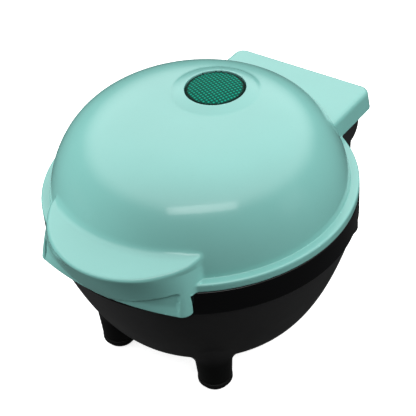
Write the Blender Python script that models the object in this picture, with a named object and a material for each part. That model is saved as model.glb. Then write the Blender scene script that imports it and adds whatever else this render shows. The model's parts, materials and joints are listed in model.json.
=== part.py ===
"""Small round countertop donut maker, modelled as separate parts.

Frame: origin on the table under the middle of the round body, X to the user's right,
-Y towards the handle, +Y towards the hinge, Z up. Metres. The lid turns about a pin
that runs along X at the rear.
"""
import math

import bmesh
import bpy
from mathutils import Matrix, Vector

# ---- driving dimensions ----------------------------------------------------------------
RIM_RADIUS = 0.0730          # outer radius of the lid's flange and of the base's band
FLANGE_TOP = 0.0834          # height of the lid's flange above the table
FLANGE_DEPTH = 0.0041
GAP = 0.0003                 # between pieces that touch
WALL = 0.0025                # moulded plastic

LID_BOTTOM = FLANGE_TOP - FLANGE_DEPTH
BASE_TOP = LID_BOTTOM - GAP
MOUTH_RADIUS = 0.0650        # opening that a baking plate sits in, lid and base alike

DOME_RADIUS = 0.0689
DOME_HEIGHT = 0.0394
DOME_POWERS = (4.8, 1.43)    # how square the dome is across and upward

LENS_Y = 0.0172
LENS_RADIUS = 0.0137
COLLAR_RADIUS = 0.0185
COLLAR_TOP = FLANGE_TOP + 0.0407

REACH = 0.09125              # from the round body's axis to the hood's rear
FRONT_REACH = 0.0840         # from the same axis to the handle's front
AXIS_Y = (FRONT_REACH - REACH) / 2.0         # puts the middle of the length at Y = 0
HINGE_Y = 0.0752
HINGE_Z = 0.0779
PIN_RADIUS = 0.0020
BORE_RADIUS = 0.0023
LUG_RADIUS = 0.0092
LUG_X = (0.0255, 0.0352)
EAR_RADIUS = 0.0042
EAR_X = (0.0200, 0.0250)

HOOD_HALF_WIDTH = 0.0380
HOOD_TOP = FLANGE_TOP + 0.0095
HOOD_BOTTOM = FLANGE_TOP - 0.0004
HOOD_CORNER = 0.0050

HANDLE_TOP = FLANGE_TOP + 0.0085
HANDLE_BOTTOM = FLANGE_TOP - 0.0130
HANDLE_TILT = 0.10           # how steeply its top rises toward the dome
HANDLE_LEVEL_Y = -0.0700     # where the tilted top is at HANDLE_TOP
HANDLE_BACK_Y = -0.0469      # middle of the handle's two rounded outlines
HANDLE_TOP_HALF = 0.0396
HANDLE_LOW_HALF = 0.0430
HANDLE_LOW_REACH = 0.0286
HANDLE_POWERS = (2.05, 4.20)                 # of the outline at the top and at the lower edge
HANDLE_EDGE_SHARE = 0.09     # of the handle's height, taken by its rounded top edge
SCOOP_X = (0.0036, 0.0314)   # span of a finger scoop on each side of the middle
SCOOP_DEPTH = 0.0010
SKIRT_CLEARANCE = 0.0012     # handle skirt to the base's band

BAND_BOTTOM = FLANGE_TOP - 0.0172
BOWL_TOP_RADIUS = 0.0716
BOWL_BELLY = (0.0600, FLANGE_TOP - 0.0577)   # pulls the bowl's outline outward
BOWL_FLOOR = 0.0140
BOWL_FLOOR_RADIUS = 0.0452
BOWL_LIP_TOP = 0.0750        # the bowl's edge inside the band
BOWL_LIP_RADIUS = BOWL_TOP_RADIUS - 0.0018

FOOT_X = 0.0281
FOOT_Y = 0.0373
LEG_RADIUS = 0.0092
PAD_TOP = 0.0050
PAD_RADIUS = 0.0080

PLATE_RADIUS = 0.0645
PLATE_LAND = 0.0030
DONUT_RING = 0.0325          # centre of each donut from the middle of the plate
DONUT_RADIUS = 0.0135        # middle of the dough ring
DONUT_HALF_WIDTH = 0.0072
DONUT_DEPTH = 0.0090
CUP_RADIUS = 0.0224
CUP_DEPTH = 0.0117
PLATE_SCREW_RING = 0.0595
PLATE_SCREW_ANGLES = (30.0, 150.0, 270.0)
PLATE_BOSS_DEPTH = 0.0077
ELEMENT_TUBE = 0.0031
ELEMENT_HEIGHT = BASE_TOP - CUP_DEPTH - GAP - ELEMENT_TUBE   # middle of the lower tube
ELEMENT_TAIL = 0.0145        # how far each end of the tube turns away from the plate
ELEMENT_ENDS = (104.0, 76.0)                 # degrees round the plate
PAN_FLOOR = BASE_TOP - CUP_DEPTH - 2 * ELEMENT_TUBE - 0.0030
PAN_SHEET = 0.0008
MIRROR_SUM = LID_BOTTOM + BASE_TOP           # upper plate height = this - lower plate height

SADDLE = (RIM_RADIUS + GAP, RIM_RADIUS + 0.0033, 0.0560, 0.0730)   # radii, then heights
CORD_Z = 0.0460
BRACKET_SCREW = (0.0220, 0.0605)             # across, and height
SPINE_HALF = 0.0160
SPINE_BACK = 0.0758
HEEL_LOW = FLANGE_TOP - RIM_RADIUS
HEEL_TOP = HEEL_LOW + 0.0102
HEEL_HALF = 0.0365
HEEL_BACK = 0.0865
HEEL_SCREW_Y = 0.0370
SCREW_HEAD = (0.0030, 0.0018)                # radius and height
SCREW_SHANK = 0.0015
SCREW_HOLE = 0.0018

CLIP_TOP = FLANGE_TOP + 0.0345               # underside of the lens's clip ring
HOLDER_DEPTH = 0.0090
BLOCK_Z = 0.0260
BLOCK_HEIGHT = 0.0110
LEAD_RADIUS = 0.0011

SEGMENTS = 40


# ---- materials -------------------------------------------------------------------------
def material(name, colour, roughness, metallic=0.0, alpha=1.0):
    made = bpy.data.materials.new(name)
    made.use_nodes = True
    shader = made.node_tree.nodes["Principled BSDF"]
    shader.inputs["Base Color"].default_value = (*colour, 1.0)
    shader.inputs["Roughness"].default_value = roughness
    shader.inputs["Metallic"].default_value = metallic
    shader.inputs["Alpha"].default_value = alpha
    made.diffuse_color = (*colour, alpha)
    return made


# ---- building blocks -------------------------------------------------------------------
def make(name, mesh_builder, finish=None, parent=None):
    """Turns a filled bmesh into a smooth-shaded object."""
    mesh = bpy.data.meshes.new(name)
    bmesh.ops.recalc_face_normals(mesh_builder, faces=mesh_builder.faces)
    mesh_builder.to_mesh(mesh)
    mesh_builder.free()
    mesh.shade_smooth()
    mesh.set_sharp_from_angle(angle=math.radians(35.0))
    placed = bpy.data.objects.new(name, mesh)
    bpy.context.scene.collection.objects.link(placed)
    if finish:
        mesh.materials.append(finish)
    if parent:
        placed.parent = parent
        placed.matrix_parent_inverse = parent.matrix_world.inverted()
    return placed


def turned(profile, segments=SEGMENTS, axis="Z", centre=(0.0, 0.0, 0.0)):
    """Closed profile of (radius, height) points turned about an axis. A profile that
    starts and ends on the axis makes a solid with flat or pointed ends, any other one
    a ring."""
    shape = bmesh.new()
    capped = profile[0][0] < 1e-7
    rings = []
    for place, (radius, height) in enumerate(profile):
        if radius < 1e-7:
            beside = profile[1] if place == 0 else profile[place - 1]
            flat = abs(beside[1] - height) < 1e-7
            rings.append([] if flat else [shape.verts.new((0.0, 0.0, height))])
            continue
        ring = []
        for step in range(segments):
            angle = math.tau * step / segments
            ring.append(shape.verts.new((radius * math.cos(angle), radius * math.sin(angle), height)))
        rings.append(ring)
    following_rings = rings[1:] if capped else rings[1:] + rings[:1]
    for ring, following in zip(rings, following_rings):
        if not ring or not following:
            shape.faces.new(ring or following)
            continue
        for step in range(segments):
            corners = [ring[step % len(ring)], ring[(step + 1) % len(ring)],
                       following[(step + 1) % len(following)], following[step % len(following)]]
            unique = list(dict.fromkeys(corners))
            if len(unique) > 2:
                shape.faces.new(unique)
    turns = {"X": Matrix.Rotation(math.radians(90.0), 4, "Y"),
             "Y": Matrix.Rotation(math.radians(-90.0), 4, "X"),
             "Z": Matrix.Identity(4)}
    bmesh.ops.transform(shape, matrix=Matrix.Translation(centre) @ turns[axis], verts=shape.verts)
    return shape


def stacked(sections):
    """Closed outlines of equal point count, each a list of (x, y, z), skinned in order."""
    shape = bmesh.new()
    rings = [[shape.verts.new(point) for point in section] for section in sections]
    count = len(rings[0])
    for ring, following in zip(rings, rings[1:]):
        for step in range(count):
            beyond = (step + 1) % count
            shape.faces.new((ring[step], ring[beyond], following[beyond], following[step]))
    shape.faces.new(rings[0])
    shape.faces.new(rings[-1])
    return shape


def block(low, high):
    (x0, y0, z0), (x1, y1, z1) = low, high
    corners = ((x0, y0), (x1, y0), (x1, y1), (x0, y1))
    return stacked([[(x, y, z) for x, y in corners] for z in (z0, z1)])


def rod(radius, low, high, axis="Z", centre=(0.0, 0.0, 0.0), segments=24):
    """Cylinder from low to high along the axis, measured from the centre."""
    return turned([(0.0, low), (radius, low), (radius, high), (0.0, high)], segments, axis, centre)


def joined(*shapes):
    """Puts several loose shapes in one bmesh, for cutters that act together."""
    whole = bmesh.new()
    for shape in shapes:
        scratch = bpy.data.meshes.new("scratch")
        shape.to_mesh(scratch)
        shape.free()
        whole.from_mesh(scratch)
        bpy.data.meshes.remove(scratch)
    return whole


def mirrored_x(build):
    """The shape that build makes for side +1, with the one it makes for side -1."""
    return joined(build(1.0), build(-1.0))


def tool(name, shape):
    """A hidden body that a Boolean uses."""
    hidden = make(name, shape)
    hidden.hide_render = True
    hidden.display_type = "WIRE"
    return hidden


def combine(target, operation, hidden):
    step = target.modifiers.new(f"{operation.lower()} {hidden.name}", "BOOLEAN")
    step.operation = operation
    step.object = hidden
    step.solver = "EXACT"
    step.use_self = False


def cut(target, name, shape):
    combine(target, "DIFFERENCE", tool(name, shape))


def add(target, name, shape):
    combine(target, "UNION", tool(name, shape))


def rounded_rectangle(half_x, y0, y1, corner, z, steps=4):
    """Outline with its two corners at y1 rounded."""
    points = [(-half_x, y0, z), (half_x, y0, z)]
    for side in (1.0, -1.0):
        for step in range(steps + 1):
            angle = math.pi / 2.0 * step / steps
            if side < 0:
                angle = math.pi / 2.0 - angle
            points.append((side * (half_x - corner + corner * math.cos(angle)),
                           y1 - corner + corner * math.sin(angle), z))
    return points


def tube(name, points, radius, finish, parent=None, sides=8):
    """Round wire through the points, with filled ends."""
    curve = bpy.data.curves.new(name, "CURVE")
    curve.dimensions = "3D"
    curve.bevel_depth = radius
    curve.bevel_resolution = sides // 4
    curve.use_fill_caps = True
    spline = curve.splines.new("POLY")
    spline.points.add(len(points) - 1)
    for spot, point in zip(spline.points, points):
        spot.co = (*point, 1.0)
    curve.materials.append(finish)
    placed = bpy.data.objects.new(name, curve)
    bpy.context.scene.collection.objects.link(placed)
    if parent:
        placed.parent = parent
        placed.matrix_parent_inverse = parent.matrix_world.inverted()
    return placed


def smooth_route(points, steps=5):
    """Catmull-Rom curve through the points."""
    spots = [Vector(point) for point in points]
    padded = [2 * spots[0] - spots[1]] + spots + [2 * spots[-1] - spots[-2]]
    route = []
    for before, start, end, after in zip(padded, padded[1:], padded[2:], padded[3:]):
        for step in range(steps):
            t = step / steps
            route.append(0.5 * (2 * start + (end - before) * t
                                + (2 * before - 5 * start + 4 * end - after) * t ** 2
                                + (3 * start - before - 3 * end + after) * t ** 3))
    route.append(spots[-1])
    return route


def pan_screw(length):
    """Profile of a screw whose head sits below height 0 and whose shank rises."""
    head_radius, head_height = SCREW_HEAD
    return [(0.0, -head_height), (head_radius * 0.75, -head_height),
            (head_radius, -head_height * 0.5), (head_radius, 0.0),
            (SCREW_SHANK, 0.0), (SCREW_SHANK, length - SCREW_SHANK), (0.0, length)]


def polar(radius, degrees, height=0.0):
    angle = math.radians(degrees)
    return (radius * math.cos(angle), radius * math.sin(angle), height)


# ---- shared outlines -------------------------------------------------------------------
def dome_profile(radius, height, steps=10):
    """From the rim of the dome at height 0 up to its crown."""
    across, upward = DOME_POWERS
    points = []
    for step in range(steps + 1):
        share = math.cos(math.pi / 2.0 * step / steps) if step < steps else 0.0
        rise = (1.0 - share ** across) ** (1.0 / upward)
        points.append((radius * share, FLANGE_TOP + height * rise))
    return points


def bowl_profile(inset, steps=7):
    """From under the band down to the bowl's flat floor, moved inward by inset."""
    start = Vector((BOWL_TOP_RADIUS - inset, BAND_BOTTOM - GAP))
    belly = Vector((BOWL_BELLY[0] - inset, BOWL_BELLY[1] + inset * 0.6))
    end = Vector((BOWL_FLOOR_RADIUS - inset, BOWL_FLOOR + inset))
    points = []
    for step in range(steps + 1):
        t = step / steps
        spot = (1 - t) ** 2 * start + 2 * t * (1 - t) * belly + t ** 2 * end
        points.append((spot.x, spot.y))
    return points


def handle_outline(share, height, inset=0.0, back_y=-0.045, steps=16):
    """The handle's outline from above at a share of the way from its top (0) to its lower
    edge (1): an ellipse above, nearly a rounded box below, closed behind by a straight
    line inside the dome. The front wall leans inward below the rounded top edge."""
    lean = max(0.0, (share - HANDLE_EDGE_SHARE) / (1.0 - HANDLE_EDGE_SHARE))
    half = HANDLE_TOP_HALF + (HANDLE_LOW_HALF - HANDLE_TOP_HALF) * lean - inset
    reach_top = FRONT_REACH + HANDLE_BACK_Y
    reach = reach_top + (HANDLE_LOW_REACH - reach_top) * lean - inset
    power = HANDLE_POWERS[0] + (HANDLE_POWERS[1] - HANDLE_POWERS[0]) * lean
    tilt = HANDLE_TILT * (1.0 - share)
    outline = [(half, back_y)]
    for step in range(steps + 1):
        angle = math.pi * step / steps
        across = math.copysign(abs(math.cos(angle)) ** (2.0 / power), math.cos(angle))
        forward = max(math.sin(angle), 0.0) ** (2.0 / power)
        outline.append((half * across, HANDLE_BACK_Y - reach * forward))
    outline.append((-half, back_y))
    return [(x, y, height + tilt * (y - HANDLE_LEVEL_Y)) for x, y in outline]


# ---- lid -------------------------------------------------------------------------------
def lid_blank():
    rim = RIM_RADIUS
    low = LID_BOTTOM - 0.0010    # trimmed level later
    profile = [(0.0, low), (rim, low), (rim, FLANGE_TOP - 0.0009),
               (rim - 0.0003, FLANGE_TOP - 0.0003), (rim - 0.0010, FLANGE_TOP)]
    return turned(profile + dome_profile(DOME_RADIUS, DOME_HEIGHT))


def lid_hollow():
    low = LID_BOTTOM - 0.01
    profile = [(0.0, low), (MOUTH_RADIUS, low), (MOUTH_RADIUS, FLANGE_TOP - 0.0010)]
    inner = dome_profile(DOME_RADIUS - WALL, DOME_HEIGHT - WALL)
    return turned(profile + inner)


def lens_collar():
    """Raised round boss on the dome, behind its crown."""
    profile = [(0.0, FLANGE_TOP + 0.0330), (COLLAR_RADIUS, FLANGE_TOP + 0.0330),
               (COLLAR_RADIUS, COLLAR_TOP - 0.0022), (LENS_RADIUS + 0.0028, COLLAR_TOP - 0.0010),
               (LENS_RADIUS + 0.0014, COLLAR_TOP - 0.0001), (LENS_RADIUS + 0.0008, COLLAR_TOP),
               (0.0, COLLAR_TOP)]
    return turned(profile, 32, "Z", (0.0, LENS_Y, 0.0))


def lens_well():
    """Seat for the lens, and a smaller hole through the dome under it."""
    seat = COLLAR_TOP - 0.0030
    profile = [(0.0, FLANGE_TOP + 0.0200), (LENS_RADIUS - 0.0022, FLANGE_TOP + 0.0200),
               (LENS_RADIUS - 0.0022, seat), (LENS_RADIUS + GAP, seat),
               (LENS_RADIUS + GAP, COLLAR_TOP + 0.0050), (0.0, COLLAR_TOP + 0.0050)]
    return turned(profile, 32, "Z", (0.0, LENS_Y, 0.0))


def handle_sides(shares, inset=0.0):
    tall = HANDLE_TOP - HANDLE_BOTTOM
    return [handle_outline(share, HANDLE_TOP - tall * share, inset) for share in shares]


def handle_body():
    sections = [handle_outline(0.0, HANDLE_TOP - drop, inset)
                for drop, inset in ((0.0, 0.0018), (0.0004, 0.0009), (0.0010, 0.0003))]
    sections += handle_sides((HANDLE_EDGE_SHARE, 0.3, 0.5, 0.75, 0.95))
    sections.append(handle_outline(1.0, HANDLE_BOTTOM, 0.0007))
    return stacked(sections)


def handle_hollow():
    """Room inside the handle, above its closed lower lip, that joins the dome's room."""
    floor = FLANGE_TOP - 0.0014
    ceiling = HANDLE_TOP - WALL
    low_share = (HANDLE_TOP - floor) / (HANDLE_TOP - HANDLE_BOTTOM)
    high_share = WALL / (HANDLE_TOP - HANDLE_BOTTOM)
    return stacked([handle_outline(high_share, ceiling, 0.0030, -0.050),
                    handle_outline(low_share, floor, 0.0030, -0.050)])


def scoop_front(side):
    """Block in front of the wall whose upper edge climbs away from the middle."""
    inner, outer = side * SCOOP_X[0], side * SCOOP_X[1]
    low = HANDLE_BOTTOM - 0.0010
    corners = ((inner, low), (outer, FLANGE_TOP - 0.0005), (outer, low))
    return stacked([[(x, y, z) for x, z in corners] for y in (-0.0600, -0.1000)])


def hood_body():
    sections = []
    for drop, inset in ((0.0, 0.0030), (0.0003, 0.0018), (0.0010, 0.0008), (0.0022, 0.0002)):
        sections.append(rounded_rectangle(HOOD_HALF_WIDTH - inset, 0.045, REACH - inset,
                                          HOOD_CORNER, HOOD_TOP - drop))
    sections.append(rounded_rectangle(HOOD_HALF_WIDTH, 0.045, REACH, HOOD_CORNER, HOOD_BOTTOM))
    return stacked(sections)


def hood_hollow():
    half = HOOD_HALF_WIDTH - 0.0022
    back = REACH - 0.0022
    return stacked([rounded_rectangle(half, 0.055, back, 0.003, height)
                    for height in (LID_BOTTOM - 0.002, HOOD_TOP - 0.0022)])


def hinge_ear(side):
    """Upright web from the hood's ceiling with a round end about the pin."""
    low, high = sorted((side * EAR_X[0], side * EAR_X[1]))
    points = [(HINGE_Y + EAR_RADIUS, HOOD_TOP - 0.001), (HINGE_Y - EAR_RADIUS, HOOD_TOP - 0.001)]
    for step in range(13):
        angle = math.pi + math.pi * step / 12
        points.append((HINGE_Y + EAR_RADIUS * math.cos(angle),
                       HINGE_Z + EAR_RADIUS * math.sin(angle)))
    return stacked([[(x, y, z) for y, z in points] for x in (low, high)])


def build_lid(hinge, finish):
    shell = make("lid_shell", lid_blank(), finish["teal"], hinge)
    add(shell, "collar_form", lens_collar())
    add(shell, "handle_form", handle_body())
    add(shell, "hood_form", hood_body())
    cut(shell, "lid_room", lid_hollow())
    cut(shell, "handle_room", handle_hollow())
    hood_room = tool("hood_room", hood_hollow())
    flange_keep = rod(RIM_RADIUS + GAP, 0.07, 0.1, segments=SEGMENTS)
    combine(hood_room, "DIFFERENCE", tool("flange_keep", flange_keep))
    combine(shell, "DIFFERENCE", hood_room)
    clearance = rod(RIM_RADIUS + SKIRT_CLEARANCE, 0.05, LID_BOTTOM, segments=SEGMENTS)
    cut(shell, "base_clearance", clearance)
    cut(shell, "lens_seat", lens_well())
    scoops = tool("scoops", mirrored_x(scoop_front))
    behind = handle_sides((-0.2, 0.15, 0.3, 0.5, 0.75, 0.95, 1.2), SCOOP_DEPTH)
    combine(scoops, "DIFFERENCE", tool("scoop_back", stacked(behind)))
    combine(shell, "DIFFERENCE", scoops)
    lug_room = 0.0005
    cut(shell, "lug_rooms", mirrored_x(lambda side: rod(
        LUG_RADIUS + lug_room, *sorted((side * (LUG_X[0] - GAP), side * (LUG_X[1] + lug_room))),
        axis="X", centre=(0.0, HINGE_Y, HINGE_Z), segments=32)))
    add(shell, "ears", mirrored_x(hinge_ear))
    cut(shell, "ear_bores", rod(BORE_RADIUS, -0.03, 0.03, "X", (0.0, HINGE_Y, HINGE_Z)))

    lens_floor = COLLAR_TOP - 0.0030 + GAP
    lens_profile = [(0.0, lens_floor), (LENS_RADIUS - 0.0028, lens_floor), (LENS_RADIUS, lens_floor),
                    (LENS_RADIUS, COLLAR_TOP - 0.0012), (LENS_RADIUS - 0.0008, COLLAR_TOP - 0.0005),
                    (LENS_RADIUS - 0.0030, COLLAR_TOP - 0.0001), (0.0070, COLLAR_TOP + 0.0003),
                    (0.0, COLLAR_TOP + 0.0005)]
    lens_middle = (0.0, LENS_Y, 0.0)
    make("indicator_lens", turned(lens_profile, 32, "Z", lens_middle), finish["lens"], hinge)

    # clip ring under the dome that holds the lens, with the lamp holder's socket below it
    clip_outer = LENS_RADIUS - 0.0022 - GAP
    clip_profile = [(LENS_RADIUS - 0.0050, CLIP_TOP), (clip_outer, CLIP_TOP),
                    (clip_outer, lens_floor - GAP), (LENS_RADIUS - 0.0040, lens_floor - GAP),
                    (LENS_RADIUS - 0.0040, CLIP_TOP + 0.0012), (LENS_RADIUS - 0.0050, CLIP_TOP + 0.0012)]
    make("lens_clip_ring", turned(clip_profile[::-1], 24, "Z", lens_middle), finish["black"], hinge)
    holder_top = CLIP_TOP - GAP
    holder_low = holder_top - HOLDER_DEPTH
    holder_profile = [(0.0, holder_low), (0.0042, holder_low), (0.0042, holder_top - 0.0020),
                      (0.0105, holder_top - 0.0020), (0.0105, holder_top), (0.0028, holder_top),
                      (0.0028, holder_top - 0.0065), (0.0, holder_top - 0.0065)]
    make("lamp_holder", turned(holder_profile, 24, "Z", lens_middle), finish["ceramic"], hinge)
    lamp_low = holder_top - 0.0062
    lamp_profile = [(0.0, lamp_low), (0.0024, lamp_low), (0.0024, lamp_low + 0.0070),
                    (0.0015, lamp_low + 0.0085), (0.0, lamp_low + 0.0090)]
    make("indicator_lamp", turned(lamp_profile, 20, "Z", lens_middle), finish["lamp"], hinge)


# ---- baking plates, elements and their pans ----------------------------------------------
def flipped(height, upper):
    return MIRROR_SUM - height if upper else height


def plate(name, upper, finish, parent):
    """Flat land with four ring-shaped hollows, and a boss for each screw at its back."""
    top = BASE_TOP
    land_low = top - PLATE_LAND

    def level(profile):
        points = [(radius, flipped(height, upper)) for radius, height in profile]
        return points[::-1] if upper else points

    edge = [(0.0, land_low), (PLATE_RADIUS - 0.0010, land_low), (PLATE_RADIUS, land_low + 0.0010),
            (PLATE_RADIUS, top - 0.0005), (PLATE_RADIUS - 0.0005, top), (0.0, top)]
    body = make(name, turned(level(edge)), finish, parent)
    low = top - CUP_DEPTH
    cup = [(0.0, low + 0.0070), (0.0030, low + 0.0070), (0.0055, low + 0.0020), (0.0085, low),
           (CUP_RADIUS - 0.0055, low), (CUP_RADIUS - 0.0020, low + 0.0028),
           (CUP_RADIUS, land_low + 0.001), (0.0, land_low + 0.001)]
    hollow = []
    for step in range(12):
        angle = math.tau * step / 12
        hollow.append((DONUT_RADIUS + DONUT_HALF_WIDTH * math.cos(angle),
                       top + DONUT_DEPTH * math.sin(angle)))
    centres = [polar(DONUT_RING, 45.0 + 90.0 * step) for step in range(4)]
    cups = joined(*[turned(level(cup), 16, "Z", centre) for centre in centres])
    add(body, f"{name}_cups", cups)
    boss_low = flipped(top - PLATE_BOSS_DEPTH, upper)
    boss_high = flipped(land_low + 0.001, upper)
    spots = [polar(PLATE_SCREW_RING, angle) for angle in PLATE_SCREW_ANGLES]
    ends = sorted((boss_low, boss_high))
    bosses = joined(*[rod(0.0032, *ends, centre=spot, segments=20) for spot in spots])
    add(body, f"{name}_bosses", bosses)
    donuts = joined(*[turned(level(hollow), 16, "Z", centre) for centre in centres])
    cut(body, f"{name}_donuts", donuts)
    hole_end = flipped(top - 0.0016, upper)
    hole_start = flipped(top - PLATE_BOSS_DEPTH - 0.001, upper)
    ends = sorted((hole_start, hole_end))
    holes = joined(*[rod(SCREW_HOLE, *ends, centre=spot, segments=16) for spot in spots])
    cut(body, f"{name}_screw_holes", holes)


def element(name, upper, finish, parent):
    """Open loop of tube against the cups, its two ends turned away from the plate."""
    height = flipped(ELEMENT_HEIGHT, upper)
    away = 1.0 if upper else -1.0
    start, end = ELEMENT_ENDS
    sweep, steps = end + 360.0 - start, 24
    arc = [polar(DONUT_RING, start + sweep * step / steps, height) for step in range(1, steps)]
    drops = (ELEMENT_TAIL, 0.0100, 0.0060, 0.0030, 0.0010)
    first_tail = [polar(DONUT_RING, start, height + away * drop) for drop in drops]
    last_tail = [polar(DONUT_RING, end, height + away * drop) for drop in reversed(drops)]
    tube(name, first_tail + arc + last_tail, ELEMENT_TUBE, finish, parent)


def pan(name, upper, rim, finish, parent):
    """Pressed metal dish behind the element, held under the plate's bosses."""
    boss_end = BASE_TOP - PLATE_BOSS_DEPTH - GAP - (0.0 if upper else 0.0030)
    sheet = PAN_SHEET
    floor = PAN_FLOOR
    upper_side = [(rim, boss_end), (0.0570, boss_end), (0.0530, boss_end - 0.0015),
                  (0.0490, floor), (0.0080, floor)]
    under_side = [(0.0080, floor - sheet), (0.0485, floor - sheet), (0.0525, boss_end - 0.0015 - sheet),
                  (0.0565, boss_end - sheet), (rim, boss_end - sheet)]
    profile = [(radius, flipped(height, upper)) for radius, height in upper_side + under_side]
    body = make(name, turned(profile if not upper else profile[::-1], 24), finish, parent)
    low, high = sorted((flipped(floor - 0.01, upper), flipped(boss_end + 0.01, upper)))
    holes = [rod(0.0020, low, high, centre=polar(PLATE_SCREW_RING, angle), segments=16)
             for angle in PLATE_SCREW_ANGLES]
    holes += [rod(0.0046, low, high, centre=polar(DONUT_RING, angle), segments=20)
              for angle in ELEMENT_ENDS]
    cut(body, f"{name}_holes", joined(*holes))
    return boss_end - sheet


def plate_screws(prefix, upper, seat, length, finish, parent):
    for number, angle in enumerate(PLATE_SCREW_ANGLES, start=1):
        profile = pan_screw(length)
        points = [(radius, flipped(seat - GAP + height, upper)) for radius, height in profile]
        shape = turned(points if not upper else points[::-1], 12, "Z", polar(PLATE_SCREW_RING, angle))
        make(f"{prefix}_{number}", shape, finish, parent)


# ---- base ------------------------------------------------------------------------------
def foot_places():
    for depth, y in (("front", -FOOT_Y), ("rear", FOOT_Y)):
        for side, x in (("left", -FOOT_X), ("right", FOOT_X)):
            yield f"{depth}_{side}", (x, y, 0.0)


def bowl_blank():
    """The bowl as a solid, with the narrower lip that stands inside the band."""
    lip = BOWL_LIP_RADIUS
    profile = [(0.0, BOWL_LIP_TOP), (lip, BOWL_LIP_TOP), (lip, BAND_BOTTOM - GAP)]
    return turned(profile + bowl_profile(0.0) + [(0.0, BOWL_FLOOR)])


def bowl_room():
    lip = BOWL_LIP_RADIUS - 0.0020
    above = BOWL_LIP_TOP + 0.0100
    return turned([(0.0, above), (lip, above), (lip, BAND_BOTTOM - 0.0020)]
                  + bowl_profile(WALL)[1:] + [(0.0, BOWL_FLOOR + WALL)])


def leg(place):
    profile = [(0.0, PAD_TOP + GAP), (PAD_RADIUS, PAD_TOP + GAP), (LEG_RADIUS, 0.0220),
               (LEG_RADIUS, 0.0300), (0.0, 0.0300)]
    return turned(profile, 28, "Z", place)


def foot_pad(name, place, finish):
    profile = [(0.0, 0.0), (0.0050, 0.0), (0.0065, 0.0004), (0.0075, 0.0014), (PAD_RADIUS + 0.0002, 0.0030),
               (PAD_RADIUS + 0.0002, PAD_TOP), (0.0, PAD_TOP)]
    make(name, turned(profile, 20, "Z", place), finish)


def build_bowl(finish):
    bowl = make("base_bowl", bowl_blank(), finish["charcoal"])
    add(bowl, "legs", joined(*[leg(place) for _, place in foot_places()]))
    cut(bowl, "bowl_room", bowl_room())
    cut(bowl, "lead_hole", rod(0.0045, 0.040, 0.090, "Y", (0.0, 0.0, CORD_Z), 20))
    cut(bowl, "bracket_holes", mirrored_x(lambda side: rod(
        SCREW_HOLE, 0.050, 0.080, "Y", (side * BRACKET_SCREW[0], 0.0, BRACKET_SCREW[1]), 16)))
    add(bowl, "floor_posts", joined(
        rod(0.0040, BOWL_FLOOR + 0.001, BLOCK_Z - GAP, centre=(0.0, 0.010, 0.0), segments=16),
        rod(0.0040, BOWL_FLOOR + 0.001, 0.0250, centre=(0.0, HEEL_SCREW_Y, 0.0), segments=16)))
    cut(bowl, "heel_screw_hole", rod(SCREW_HOLE, BOWL_FLOOR - 0.002, 0.0230,
                                     centre=(0.0, HEEL_SCREW_Y, 0.0), segments=12))
    for name, place in foot_places():
        foot_pad(f"foot_pad_{name}", place, finish["rubber"])


def build_band(finish):
    """Glossy ring round the top of the base, with three tabs under the plate."""
    outer = RIM_RADIUS
    inner = BOWL_LIP_RADIUS + GAP
    profile = [(MOUTH_RADIUS, BASE_TOP), (outer - 0.0006, BASE_TOP), (outer, BASE_TOP - 0.0006),
               (outer - 0.0002, BAND_BOTTOM + 0.0020), (outer - 0.0008, BAND_BOTTOM),
               (inner, BAND_BOTTOM), (inner, BOWL_LIP_TOP + GAP), (MOUTH_RADIUS, BOWL_LIP_TOP + GAP)]
    band = make("base_band", turned(profile[::-1]), finish["gloss_black"])
    tab_top = BASE_TOP - PLATE_BOSS_DEPTH - GAP
    tabs = []
    for angle in PLATE_SCREW_ANGLES:
        under = tab_top - 0.0024
        hook = BOWL_LIP_TOP + 0.001
        outline = ((0.0555, under), (0.0672, under), (0.0672, hook), (0.0652, hook), (0.0652, tab_top),
                   (0.0555, tab_top))
        shape = stacked([[(x, y, z) for x, z in outline] for y in (-0.005, 0.005)])
        bmesh.ops.transform(shape, matrix=Matrix.Rotation(math.radians(angle), 4, "Z"), verts=shape.verts)
        tabs.append(shape)
    add(band, "band_tabs", joined(*tabs))
    cut(band, "tab_holes", joined(*[rod(SCREW_HOLE, tab_top - 0.005, tab_top + 0.002,
                                        centre=polar(PLATE_SCREW_RING, angle), segments=16)
                                    for angle in PLATE_SCREW_ANGLES]))


# ---- hinge bracket, pin and cord inlet ---------------------------------------------------
def lug(side):
    low, high = sorted((side * LUG_X[0], side * LUG_X[1]))
    points = []
    for step in range(17):
        angle = math.radians(-78.0 + 258.0 * step / 16)
        points.append((HINGE_Y + LUG_RADIUS * math.cos(angle),
                       HINGE_Z + LUG_RADIUS * math.sin(angle)))
    points += [(0.0600, HINGE_Z), (0.0600, SADDLE[2]), (SADDLE[1] - 0.0008, SADDLE[2])]
    return stacked([[(x, y, z) for y, z in points] for x in (low, high)])


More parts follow.
